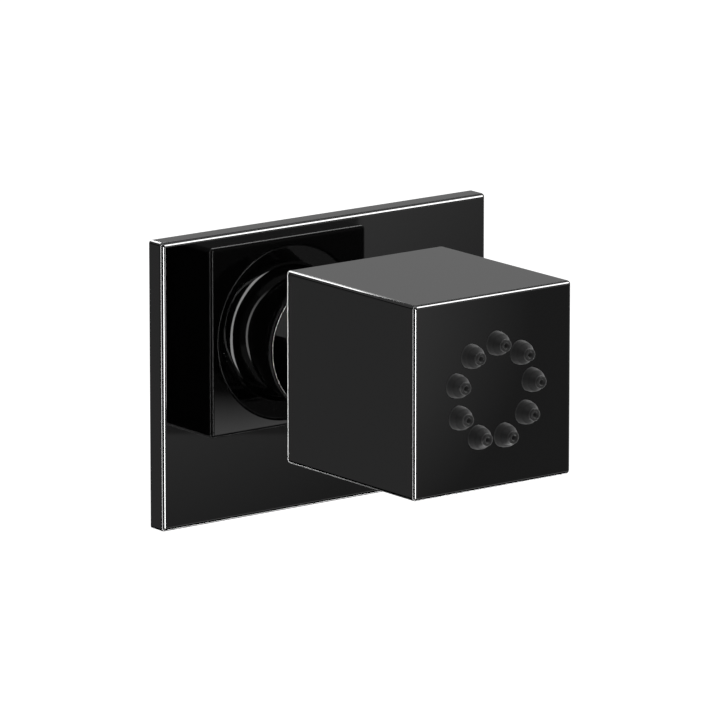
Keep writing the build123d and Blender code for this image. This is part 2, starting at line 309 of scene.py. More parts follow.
    @staticmethod
    def polish(piece: Object) -> None:
        """Shades a piece smooth across its roundings and keeps its flats flat."""
        Bench.only(piece)
        bpy.ops.object.shade_smooth_by_angle(angle=SMOOTH_UNDER)
        step = piece.modifiers.new("flats", "WEIGHTED_NORMAL")
        step.mode = "FACE_AREA"
        step.weight = 100  # the largest faces set the normals
        step.keep_sharp = True
        bpy.ops.object.modifier_apply(modifier=step.name)


class Texture(Enum):
    """The kinds of surface that a finish can have."""

    POLISHED = "polished"
    TURNED = "turned"
    MOULDED = "moulded"
    FOAM = "foam"


class Nodes:
    """Shader node groups that the finishes share."""

    BROAD = {"Scale": 45, "Detail": 3}  # of the noise that varies a piece as a whole
    FINE_DETAIL = {Texture.POLISHED: 2, Texture.TURNED: 5, Texture.MOULDED: 5}
    TURNING = (0.05, 1.0, 0.05)  # draws the pattern out into rings round the axis
    SOCKETS = (
        ("INPUT", "NodeSocketColor", ("Colour", "Second Colour")),
        ("INPUT", "NodeSocketFloat", ("Scale", "Smooth", "Rough", "Relief", "Depth")),
        ("OUTPUT", "NodeSocketColor", ("Colour",)),
        ("OUTPUT", "NodeSocketFloat", ("Roughness",)),
        ("OUTPUT", "NodeSocketVector", ("Normal",)),
    )

    @staticmethod
    def fill(node: Node, values: dict[str, float | tuple[float, ...]]) -> None:
        """Sets inputs of a node by their names."""
        for label, value in values.items():
            node.inputs[label].default_value = value

    @staticmethod
    def new_group(name: str) -> NodeTree:
        """Makes a group that has only its sockets and its input and output nodes."""
        group = bpy.data.node_groups.new(name, "ShaderNodeTree")
        for way, kind, labels in Nodes.SOCKETS:
            for label in labels:
                group.interface.new_socket(label, in_out=way, socket_type=kind)
        group.nodes.new("NodeGroupInput")
        group.nodes.new("NodeGroupOutput")
        return group

    @staticmethod
    def surface(texture: Texture) -> NodeTree:
        """Gives the group of a kind of surface, made when first asked for.

        The group mixes two colours by a pattern, spreads the roughness over a range with the same
        pattern and raises a fine relief.

        Args:
            texture: The kind of surface.

        Returns:
            The node group.
        """
        name = f"{texture.value}_surface"
        if name in bpy.data.node_groups:
            return bpy.data.node_groups[name]
        group = Nodes.new_group(name)
        nodes, links = group.nodes, group.links
        given, given_back = nodes["Group Input"], nodes["Group Output"]
        place = nodes.new("ShaderNodeTexCoord")
        pattern = Nodes.pattern(group, texture, place.outputs["Object"], given.outputs["Scale"])
        broad = nodes.new("ShaderNodeTexNoise")
        Nodes.fill(broad, Nodes.BROAD)
        both = nodes.new("ShaderNodeMath")
        both.operation = "MULTIPLY"
        colours = nodes.new("ShaderNodeMix")
        colours.data_type = "RGBA"
        spread = nodes.new("ShaderNodeMapRange")
        relief = nodes.new("ShaderNodeBump")
        links.new(pattern, both.inputs[1])
        links.new(pattern, relief.inputs["Height"])
        for source, output, target, into in (
            (place, "Object", broad, "Vector"),
            (broad, "Fac", both, 0),
            (both, "Value", colours, "Factor"),
            (given, "Colour", colours, "A"),
            (given, "Second Colour", colours, "B"),
            (both, "Value", spread, "Value"),
            (given, "Smooth", spread, "To Min"),
            (given, "Rough", spread, "To Max"),
            (given, "Relief", relief, "Strength"),
            (given, "Depth", relief, "Distance"),
            (colours, "Result", given_back, "Colour"),
            (spread, "Result", given_back, "Roughness"),
            (relief, "Normal", given_back, "Normal"),
        ):
            links.new(source.outputs[output], target.inputs[into])
        return group

    @staticmethod
    def pattern(
        group: NodeTree,
        texture: Texture,
        place: NodeSocket,
        scale: NodeSocket,
    ) -> NodeSocket:
        """Adds the pattern of a kind of surface to its group.

        Args:
            group: The group.
            texture: The kind of surface.
            place: The socket with the object coordinates.
            scale: The socket with the pattern's scale.

        Returns:
            The socket with the pattern, from 0 to 1.
        """
        nodes, links = group.nodes, group.links
        stretch = nodes.new("ShaderNodeMapping")
        links.new(place, stretch.inputs["Vector"])
        if texture is Texture.TURNED:
            stretch.inputs["Scale"].default_value = Nodes.TURNING
        if texture is Texture.FOAM:
            cells = nodes.new("ShaderNodeTexVoronoi")
            cells.feature = "F1"
            links.new(stretch.outputs["Vector"], cells.inputs["Vector"])
            links.new(scale, cells.inputs["Scale"])
            return cells.outputs["Distance"]
        grain = nodes.new("ShaderNodeTexNoise")
        grain.inputs["Detail"].default_value = Nodes.FINE_DETAIL[texture]
        links.new(stretch.outputs["Vector"], grain.inputs["Vector"])
        links.new(scale, grain.inputs["Scale"])
        return grain.outputs["Fac"]


@dataclass(frozen=True)
class Finish:
    """One finish of the jet.

    Attributes:
        slot: The record's material slot that it fills.
        colour: Its main colour.
        second: The colour that its pattern mixes in.
        smooth: Its lowest roughness.
        rough: Its highest roughness.
        scale: The pattern's scale, in features per metre.
        texture: The kind of surface.
        relief: The strength of the relief.
        depth: The relief's depth.
        metallic: 1 for bare metal.
        ior: Index of refraction.
        sheen: Weight of the soft light at its outline.
    """

    slot: str
    colour: tuple[float, float, float]
    second: tuple[float, float, float]
    smooth: float
    rough: float
    scale: float
    texture: Texture = Texture.MOULDED
    relief: float = 0.1
    depth: float = 0.01 * MM
    metallic: float = 0.0
    ior: float = 1.5
    sheen: float = 0.0

    def material(self) -> Material:
        """Gives this finish's material, made when first asked for."""
        if self.slot in bpy.data.materials:
            made = bpy.data.materials[self.slot]
            if made.get("body_jet"):
                return made
            made.name = f"{self.slot}_packed"
        made = bpy.data.materials.new(self.slot)
        made["body_jet"] = True
        made.use_nodes = True
        nodes, links = made.node_tree.nodes, made.node_tree.links
        shader = nodes["Principled BSDF"]
        values = {"Metallic": self.metallic, "IOR": self.ior, "Sheen Weight": self.sheen}
        Nodes.fill(shader, values)
        surface = nodes.new("ShaderNodeGroup")
        surface.node_tree = Nodes.surface(self.texture)
        Nodes.fill(surface, {
            "Colour": (*self.colour, 1),
            "Second Colour": (*self.second, 1),
            "Scale": self.scale,
            "Smooth": self.smooth,
            "Rough": self.rough,
            "Relief": self.relief,
            "Depth": self.depth,
        })
        sockets = {"Colour": "Base Color", "Roughness": "Roughness", "Normal": "Normal"}
        for output, into in sockets.items():
            links.new(surface.outputs[output], shader.inputs[into])
        return made

    def put_on(self, piece: Object) -> None:
        """Fills every material slot of a piece with this finish."""
        if not piece.material_slots:
            piece.data.materials.append(self.material())
        for slot in piece.material_slots:
            slot.material = self.material()


GLOSS_BLACK = Finish(
    slot="gloss_black",
    colour=(0.0006, 0.0006, 0.00065),
    second=(0.001, 0.001, 0.0011),
    smooth=0.02,
    rough=0.05,
    texture=Texture.POLISHED,
    scale=900,
    relief=0.02,
    depth=0.001 * MM,
    ior=1.75,
)
COATED_BALL = Finish(
    slot="coated_ball",
    colour=(0.004, 0.004, 0.0045),
    second=(0.008, 0.008, 0.008),
    smooth=0.02,
    rough=0.06,
    texture=Texture.TURNED,
    scale=3000,
    relief=0.02,
    depth=0.001 * MM,
)
PLAIN_BRASS = Finish(
    slot="plain_brass",
    colour=(0.72, 0.53, 0.25),
    second=(0.5, 0.34, 0.15),
    smooth=0.22,
    rough=0.4,
    texture=Texture.TURNED,
    scale=5000,
    relief=0.3,
    metallic=1.0,
)
STEEL = Finish(
    slot="steel",
    colour=(0.6, 0.6, 0.61),
    second=(0.42, 0.42, 0.43),
    smooth=0.2,
    rough=0.38,
    texture=Texture.TURNED,
    scale=5000,
    relief=0.2,
    metallic=1.0,
)
PALE_PLASTIC = Finish(
    slot="pale_plastic",
    colour=(0.78, 0.78, 0.75),
    second=(0.7, 0.7, 0.66),
    smooth=0.38,
    rough=0.52,
    scale=2500,
    relief=0.15,
)
GREY_PLASTIC = Finish(
    slot="grey_plastic",
    colour=(0.22, 0.23, 0.24),
    second=(0.17, 0.18, 0.19),
    smooth=0.42,
    rough=0.58,
    scale=3000,
    relief=0.2,
)
SEAL_RUBBER = Finish(
    slot="seal_rubber",
    colour=(0.02, 0.02, 0.02),
    second=(0.035, 0.035, 0.034),
    smooth=0.45,
    rough=0.65,
    scale=4000,
    relief=0.2,
)
FOAM = Finish(
    slot="foam",
    colour=(0.09, 0.09, 0.09),
    second=(0.04, 0.04, 0.04),
    smooth=0.8,
    rough=0.95,
    texture=Texture.FOAM,
    scale=1600,
    relief=0.8,
    depth=0.2 * MM,
)
SILICONE = Finish(
    slot="silicone",
    colour=(0.002, 0.002, 0.0021),
    second=(0.0035, 0.0035, 0.0036),
    smooth=0.42,
    rough=0.5,
    scale=2500,
    relief=0.04,
    ior=1.2,
    sheen=0.5,
)


class Assembly:
    """What the sub-assemblies have in common."""

    def place(self, piece: Object, body: str, finish: Finish, *nodes: str) -> None:
        """Finishes a modelled piece and lets it ride on its body.

        Args:
            piece: The piece.
            body: The CAD body that it rides on.
            finish: Its finish.
            nodes: The CAD nodes that it stands for.
        """
        finish.put_on(piece)
        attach(piece, body)
        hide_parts(*nodes)
        LOG.info("%s rides on %s: %d faces", piece.name, body, len(piece.data.polygons))

    def dress(self, finish: Finish, *nodes: str) -> None:
        """Gives CAD nodes their finish."""
        for node in nodes:
            finish.put_on(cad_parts[node])
            LOG.info("%s keeps its CAD shape", node)


@dataclass
class WallPlate(Assembly):
    """The rectangular plate on the wall and its gasket."""

    edge_round: float = 1.2 * MM
    corner_share: float = 0.67  # of the edge's rounding, at the upright corners
    rim: float = 5.0 * MM
    pocket_depth: float = 2.5 * MM
    pocket_round: float = 3.0 * MM
    boss_radius: float = 19.0 * MM
    hole_radius: float = 12.3 * MM
    flange_radius: float = 15.55 * MM
    flange_depth: float = 3.0 * MM

    def build(self) -> None:
        """Builds the plate and dresses the gasket."""
        plate = self.plate()
        self.place(plate, "base", GLOSS_BLACK, "wall_plate")
        self.dress(FOAM, "plate_gasket")
        for piece in (plate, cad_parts["plate_gasket"]):
            piece.visible_glossy = False  # keeps their mirror image out of the head's sides

    def plate(self) -> Object:
        """Makes the plate: rounded front edges, a pocket behind and the pipe hole.

        Returns:
            The plate.
        """
        low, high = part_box("wall_plate")
        plate = Bench.block("plate_cover", low, high)
        self.weigh(plate, lambda a, b: abs(a.y - b.y) > MM, self.corner_share)
        self.weigh(plate, lambda a, b: a.y < -MM and b.y < -MM, 1.0)
        step = plate.modifiers.new("edges", "BEVEL")
        step.limit_method = "WEIGHT"
        step.width = self.edge_round
        step.segments = FILLET_STEPS
        Bench.only(plate)
        bpy.ops.object.modifier_apply(modifier=step.name)
        Bench.cut(plate, self.pocket(low, high))
        Bench.cut(plate, Bench.rod("hole", self.hole_radius, -OVERSHOOT, -low.y + OVERSHOOT))
        Bench.cut(plate, Bench.rod("recess", self.flange_radius, -OVERSHOOT, self.flange_depth))
        Bench.polish(plate)
        return plate

    def weigh(self, plate: Object, wanted: Callable[[Vector, Vector], bool], weight: float) -> None:
        """Gives the wanted edges their share of the rounding."""
        Bench.pick_edges(plate, wanted)
        bpy.ops.transform.edge_bevelweight(value=weight)
        Bench.close()

    def pocket(self, low: Vector, high: Vector) -> Object:
        """Makes the tool body of the pocket.

        Args:
            low: The plate's lowest corner.
            high: Its highest corner.

        Returns:
            A rounded block with the boss left out.
        """
        tool = Bench.block(
            "pocket",
            Vector((low.x + self.rim, -self.pocket_depth, low.z + self.rim)),
            Vector((high.x - self.rim, OVERSHOOT, high.z - self.rim)),
        )
        Bench.pick_edges(tool, lambda a, b: abs(a.y - b.y) > MM)
        bpy.ops.mesh.bevel(offset=self.pocket_round, segments=FILLET_STEPS, affect="EDGES")
        Bench.close()
        Bench.cut(tool, Bench.rod("boss", self.boss_radius, -2 * OVERSHOOT, 2 * self.pocket_depth))
        return tool


@dataclass
class Inlet(Assembly):
    """The threaded nipple, its seal, filter and flow limiter."""

    major_radius: float = 10.4775 * MM
    minor_radius: float = 9.3155 * MM
    pitch: float = 1.814 * MM
    thread_length: float = 16.0 * MM
    crest_share: float = 0.08  # of the pitch, half the width of the thread's crest
    spare_turns: int = 2  # at either end, cut off again
    turn_steps: int = 72
    lead_in: float = 1.0 * MM
    core_radius: float = 9.0 * MM
    shell_radius: float = 8.6 * MM
    bore_radius: float = 6.5 * MM
    seat_radius: float = 8.0 * MM
    seat_depth: float = 9.0 * MM
    flange_radius: float = 15.5 * MM
    flange_thickness: float = 3.0 * MM
    nose_radius: float = 12.0 * MM
    nose_end: float = 15.5 * MM
    groove_inner: float = 12.3 * MM
    groove_outer: float = 14.1 * MM
    groove_depth: float = 1.8 * MM
    hex_flats: float = 14.0 * MM
    hex_depth: float = 7.0 * MM
    edge: float = 0.3 * MM

    def build(self) -> None:
        """Builds the nipple and dresses what it holds."""
        nipple = self.nipple()
        self.place(nipple, "base", PLAIN_BRASS, "inlet_nipple")
        self.dress(SEAL_RUBBER, "inlet_seal", "limiter_oring")
        self.dress(PALE_PLASTIC, "inlet_filter", "flow_limiter")
        inside = ("inlet_seal", "limiter_oring", "inlet_filter", "flow_limiter")
        for piece in (nipple, *(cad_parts[node] for node in inside)):
            piece.visible_glossy = False  # it is in the wall, which the plate's front would hide

    def nipple(self) -> Object:
        """Turns the body, cuts the hex socket and adds the thread.

        Returns:
            The nipple.
        """
        mouth = -self.thread_length
        body = Bench.turned("threaded_nipple", [
            Corner(self.seat_radius, mouth + NUDGE),
            Corner(self.core_radius, mouth + NUDGE),
            Corner(self.core_radius, 0),
            Corner(self.groove_inner, 0),
            Corner(self.groove_inner, self.groove_depth),
            Corner(self.groove_outer, self.groove_depth),
            Corner(self.groove_outer, 0),
            Corner(self.flange_radius, 0, self.edge),
            Corner(self.flange_radius, self.flange_thickness, self.edge),
            Corner(self.nose_radius, self.flange_thickness),
            Corner(self.nose_radius, self.nose_end - self.lead_in),
            Corner(self.nose_radius - self.lead_in, self.nose_end),
            Corner(self.bore_radius, self.nose_end),
            Corner(self.bore_radius, mouth + self.seat_depth),
            Corner(self.seat_radius, mouth + self.seat_depth),
        ])
        corner_radius = self.hex_flats / math.sqrt(3)
        low, high = self.nose_end - self.hex_depth, self.nose_end + OVERSHOOT
        Bench.cut(body, Bench.rod("hex", corner_radius, low, high, sides=6))
        Bench.cut(body, self.thread(), Cut.ADD)
        Bench.polish(body)
        return body

    def thread(self) -> Object:
        """Winds the thread's profile into a helix and trims it.

        Returns:
            A threaded tube round the nipple's core.
        """
        crest = self.crest_share * self.pitch
        start = self.spare_turns * self.pitch
        outline = [
            Corner(self.minor_radius, start),
            Corner(self.minor_radius, start - crest),
            Corner(self.major_radius, start - self.pitch / 2 + crest),
            Corner(self.major_radius, start - self.pitch / 2 - crest),
            Corner(self.minor_radius, start - self.pitch + crest),
            Corner(self.minor_radius, start - self.pitch),
        ]
        tube = Bench.chain("thread", outline, closed=False)
        wind = tube.modifiers.new("wind", "SCREW")
        wind.axis = "Y"
        wind.screw_offset = self.pitch
        wind.iterations = math.ceil(self.thread_length / self.pitch) + 2 * self.spare_turns
        wind.steps = wind.render_steps = self.turn_steps
        Bench.only(tube)
        bpy.ops.object.modifier_apply(modifier=wind.name)
        Bench.edit(tube)
        Bench.weld()
        for out, up in ((NUDGE, -1.0), (-self.thread_length, 1.0)):
            bpy.ops.mesh.select_all(action="SELECT")
            bpy.ops.mesh.bisect(
                plane_co=(0, -out, 0),
                plane_no=(0, up, 0),
                use_fill=True,
                clear_outer=True,
                threshold=ON_PLANE,
            )
        bpy.ops.mesh.select_all(action="SELECT")
        bpy.ops.mesh.normals_make_consistent(inside=False)
        Bench.close()
        cone = Bench.rod("cone", self.major_radius + OVERSHOOT, -self.thread_length, OVERSHOOT)
        Bench.pick_edges(cone, lambda a, b: min(a.y, b.y) > self.thread_length - MERGE)
        reach = self.lead_in + OVERSHOOT
        bpy.ops.mesh.bevel(offset=reach, segments=1, affect="EDGES")
        Bench.close()
        Bench.cut(tube, cone, Cut.KEEP)
        core = Bench.rod("core", self.shell_radius, -self.thread_length - OVERSHOOT, OVERSHOOT)
        Bench.cut(tube, core)
        return tube


@dataclass
class BallStem(Assembly):
    """The stem with the swivel ball, its sleeve and small parts."""

    ball_radius: float = 18.0 * MM
    ball_centre: float = 26.5 * MM
    ball_flat: float = 43.1 * MM
    ball_steps: int = 72
    stem_radius: float = 14.5 * MM
    bore_radius: float = 6.0 * MM
    mouth_chamfer: float = 0.6 * MM
    start: float = 6.0 * MM
    nose_radius: float = 12.05 * MM
    nose_end: float = 15.55 * MM
    groove_radius: float = 13.5 * MM
    groove_from: float = 6.75 * MM
    groove_to: float = 8.25 * MM
    sleeve_base: float = 17.916 * MM
    sleeve_top: float = 16.0 * MM
    sleeve_end: float = 17.4 * MM
    base_round: float = 0.4 * MM
    top_round: float = 0.2 * MM
    fit: float = 0.05 * MM
    screw_radius: float = 1.75 * MM
    screw_out: float = 11.5 * MM
    screw_hole_top: float = 13.1 * MM

    def build(self) -> None:
        """Builds the ball and its sleeve and dresses the small parts."""
        self.place(self.ball(), "base", COATED_BALL, "ball_stem")
        self.place(self.sleeve(), "base", GLOSS_BLACK, "stem_sleeve")
        self.dress(SEAL_RUBBER, "stem_oring", "sleeve_gasket")
        self.dress(STEEL, "sleeve_grub_screw")
        self.dress(PALE_PLASTIC, "rear_seat_ring", "front_seat_ring")

    def sphere_out(self, radius: float, reach: float) -> float:
        """Gives how far out the wall side of a sphere at the ball's centre has this reach."""
        return self.ball_centre - math.sqrt(radius * radius - reach * reach)

    def ball(self) -> Object:
        """Turns the hollow ball and its stem.

        Returns:
            The ball stem.
        """
        neck = self.sphere_out(self.ball_radius, self.stem_radius)
        piece = Bench.turned("swivel_ball", [
            Corner(self.nose_radius, self.start),
            Corner(self.stem_radius, self.start),
            *arc(self.ball_radius, self.ball_centre, neck, self.ball_flat, self.ball_steps),
            Corner(self.bore_radius + self.mouth_chamfer, self.ball_flat),
            Corner(self.bore_radius, self.ball_flat - self.mouth_chamfer),
            Corner(self.bore_radius, self.nose_end),
            Corner(self.nose_radius, self.nose_end),
            Corner(self.nose_radius, self.groove_to),
            Corner(self.groove_radius, self.groove_to),
            Corner(self.groove_radius, self.groove_from),
            Corner(self.nose_radius, self.groove_from),
        ])
        Bench.cut(piece, self.screw_hole())
        Bench.polish(piece)
        return piece

    def sleeve(self) -> Object:
        """Turns the tapered sleeve with its rounded foot.

        Returns:
            The sleeve.
        """
        inner = self.stem_radius + self.fit
        hollow = self.ball_radius + self.fit
        reach = math.sqrt(hollow**2 - (self.ball_centre - self.sleeve_end) ** 2)
        foot = self.sphere_out(hollow, inner)
        piece = Bench.turned("stem_cover", [
            Corner(inner, self.start),
            Corner(self.sleeve_base, self.start, self.base_round),
            Corner(self.sleeve_top, self.sleeve_end, self.top_round),
            Corner(reach, self.sleeve_end),
            *arc(hollow, self.ball_centre, self.sleeve_end, foot, FILLET_STEPS)[1:],
        ])
        Bench.cut(piece, self.screw_hole())
        Bench.polish(piece)
        return piece

    def screw_hole(self) -> Object:
        """Makes the tool body of the radial screw hole, from below."""
        length = self.sleeve_base + OVERSHOOT - self.screw_hole_top
        bpy.ops.mesh.primitive_cylinder_add(
            vertices=HOLE_STEPS, radius=self.screw_radius, depth=length
        )
        tool = bpy.context.object
        Bench.only(tool)
        tool.location = (0, -self.screw_out, -self.screw_hole_top - length / 2)
        bpy.ops.object.transform_apply(location=True, rotation=False, scale=False)
        return tool


@dataclass
class Head(Assembly):
    """The square head with its retainer, socket and water chamber."""

    edge_round: float = 1.0 * MM
    seat_radius: float = 23.1 * MM
    seat_depth: float = 9.0 * MM
    bore_radius: float = 22.0 * MM
    face_thickness: float = 3.5 * MM
    rim_break: float = 0.15 * MM  # at the edge of the retainer's hole
    retainer_radius: float = 23.05 * MM
    dish: float = 0.8 * MM
    lip_flat: float = 0.6 * MM
    lip_rise: float = 0.265 * MM  # of the lip's inner edge over its foot
    outer_round: float = 0.5 * MM
    lip_width: float = 1.0 * MM
    lip_sphere: float = 18.3 * MM
    socket_sphere: float = 20.0 * MM
    socket_steps: int = 24
    ball_depth: float = 5.0 * MM
    nozzle_hole: float = 3.25 * MM
    nozzle_hole_steps: int = 64
    nozzle_ring: float = 12.2 * MM
    nozzle_count: int = 9
    nozzle_start: float = 86.0  # degrees

    def build(self) -> None:
        """Builds the shell, retainer and nozzle mat and dresses what they hold."""
        low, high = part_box("head_shell")
        self.low, self.high = low, high
        self.back, self.front = -high.y, -low.y
        self.place(self.shell(), "head", GLOSS_BLACK, "head_shell")
        self.place(self.retainer(), "head", GLOSS_BLACK, "ball_retainer")
        nozzles = NozzleMat(self.front - self.face_thickness, self.front)
        sheet = nozzles.mat(self.ring_places())
        self.place(sheet, "head", SILICONE, "nozzle_mat")
        sheet.visible_glossy = False  # keeps the nozzles' mirror images off the face
        self.dress(PALE_PLASTIC, "socket_insert")
        self.dress(SEAL_RUBBER, "insert_oring", "ball_seal", "chamber_oring")
        self.dress(STEEL, "seal_spring", "chamber_screws", "chamber_filter")
        self.dress(GREY_PLASTIC, "chamber_cover", "spray_chamber")

    def ring_places(self) -> list[Vector]:
        """Gives the places of the nozzles on their ring, as shifts from the axis."""
        first, ring = math.radians(self.nozzle_start), self.nozzle_ring
        turns = [FULL_TURN * k / self.nozzle_count for k in range(self.nozzle_count)]
        angles = [first + turn for turn in turns]
        return [Vector((ring * math.cos(a), 0, ring * math.sin(a))) for a in angles]

    def shell(self) -> Object:
        """Makes the head: a rounded cube, bored from behind, with a hole for each nozzle.

        Returns:
            The shell.
        """
        piece = Bench.block("jet_head", self.low, self.high)
        Bench.edit(piece, "EDGE")
        bpy.ops.mesh.bevel(offset=self.edge_round, segments=FILLET_STEPS, affect="EDGES")
        Bench.close()
        seat_end = self.back + self.seat_depth
        bore_end = self.front - self.face_thickness
        tool = Bench.turned("bore", [
            Corner(0, self.back - OVERSHOOT),
            Corner(self.seat_radius + self.rim_break, self.back - OVERSHOOT),
            Corner(self.seat_radius + self.rim_break, self.back),
            Corner(self.seat_radius, self.back + self.rim_break),
            Corner(self.seat_radius, seat_end),
            Corner(self.bore_radius, seat_end),
            Corner(self.bore_radius, bore_end),
            Corner(0, bore_end),
        ])
        Bench.cut(piece, tool)
        low, high = bore_end - OVERSHOOT, self.front + OVERSHOOT
        drill = Bench.rod("drill", self.nozzle_hole, low, high, self.nozzle_hole_steps)
        Bench.cut(piece, Bench.repeated(drill, self.ring_places()))
        Bench.polish(piece)
        return piece

    def retainer(self) -> Object:
        """Turns the dished ring whose lip holds the ball.

        Returns:
            The retainer.
        """
        dish = self.back + self.dish
        centre = self.back + self.ball_depth
        end = self.back + self.seat_depth
        lip_top = dish - self.lip_rise
        lip = math.sqrt(self.lip_sphere**2 - (centre - lip_top) ** 2)
        lip_end = dish + self.lip_width
        lip_end_radius = math.sqrt(self.lip_sphere**2 - (centre - lip_end) ** 2)
        piece = Bench.turned("ball_ring", [
            Corner(lip, lip_top),
            Corner(lip + self.lip_flat, dish, self.rim_break),
            Corner(self.retainer_radius, self.back, self.outer_round),
            Corner(self.retainer_radius, end),
            *arc(self.socket_sphere, centre, end, lip_end, self.socket_steps),
            Corner(lip_end_radius, lip_end),
        ])
        Bench.polish(piece)
        return piece


@dataclass
class NozzleMat:
    """The silicone mat with its bell-shaped nozzles.

    Attributes:
        face_back: Where the mat's front lies against the head's face, as an out distance.
        face_front: The front of the head's face.
    """

    face_back: float
    face_front: float
    mat_thickness: float = 2.0 * MM
    mat_radius: float = 20.0 * MM
    base_radius: float = 3.1 * MM
    shoulder_radius: float = 2.7 * MM
    tip_radius: float = 1.6 * MM
    bore_radius: float = 1.6 * MM
    outlet_radius: float = 0.8 * MM
    foot: float = 0.4 * MM
    shoulder: float = 2.1 * MM
    neck: float = 3.4 * MM
    reach: float = 4.3 * MM
    foot_round: float = 0.9 * MM
    neck_round: float = 0.35 * MM
    lip_round: float = 0.35 * MM
    sides: int = 72

    def nozzle(self) -> Object:
        """Turns one hollow nozzle on the axis.

        Returns:
            The nozzle.
        """
        back = self.face_back - self.mat_thickness + NUDGE
        front = self.face_front
        return Bench.turned("nozzle", [
            Corner(self.bore_radius, back),
            Corner(self.base_radius, back),
            Corner(self.base_radius, front + self.foot, self.foot_round),
            Corner(self.shoulder_radius, front + self.shoulder, self.foot_round),
            Corner(self.tip_radius, front + self.neck, self.neck_round),
            Corner(self.tip_radius, front + self.reach, self.lip_round),
            Corner(self.outlet_radius, front + self.reach, self.lip_round / 2),
            Corner(self.outlet_radius, front + self.shoulder),
            Corner(self.bore_radius, front),
        ], self.sides)

    def mat(self, places: list[Vector]) -> Object:
        """Makes the mat with a nozzle at each place.

        Args:
            places: The nozzles' shifts from the axis.

        Returns:
            The mat in one piece.
        """
        back = self.face_back - self.mat_thickness
        mat = Bench.rod("nozzle_sheet", self.mat_radius, back, self.face_back)
        middle = (self.bore_radius + self.base_radius) / 2
        low = self.face_back - 2 * self.mat_thickness
        punch = Bench.rod("punch", middle, low, self.face_front, HOLE_STEPS)
        Bench.cut(mat, Bench.repeated(punch, places))
        Bench.cut(mat, Bench.repeated(self.nozzle(), places), Cut.ADD)
        Bench.only(mat)
        bpy.ops.object.shade_smooth_by_angle(angle=SMOOTH_UNDER)
        return mat


@dataclass(frozen=True)
class Panel:
    """A lamp or card of the studio, square to the line from its own aim to it.

    Attributes:
        name: Its name.
        aim: The point of the jet that it faces.
        direction: Where it stands, seen from that point.
        distance: How far away.
        width: Its width.
        height: Its height.
        level: Its brightness, where 1 is a white background.
        far_level: The brightness that it fades to; the same if left out.
        start: Where it has the first level, from its middle, in shares of its size or, for a
            tube, in metres.
        near: How far from there the fade begins, in the same measure.
        reach: How far from there the second level is reached, in the same measure.
        tube: The tube's radius, if it is a round tube bent to a ring instead of a card.
    """

    name: str
    aim: tuple[float, float, float]
    direction: tuple[float, float, float]
    distance: float
    width: float
    height: float
    level: float
    far_level: float | None = None
    start: tuple[float, float] = (0.0, 0.0)
    near: float = 0.0
    reach: float = 1.0
    tube: float = 0.0

    def put_up(self, thing: Object) -> None:
        """Stands the panel in its place, facing the jet."""
        towards = Vector(self.direction).normalized()
        thing.location = Vector(self.aim) + towards * self.distance
        thing.rotation_euler = towards.to_track_quat("Z", "Y").to_euler()


WHITE = (1, 1, 1, 1)
Paint = tuple[bpy.types.Nodes, NodeLinks, Node]


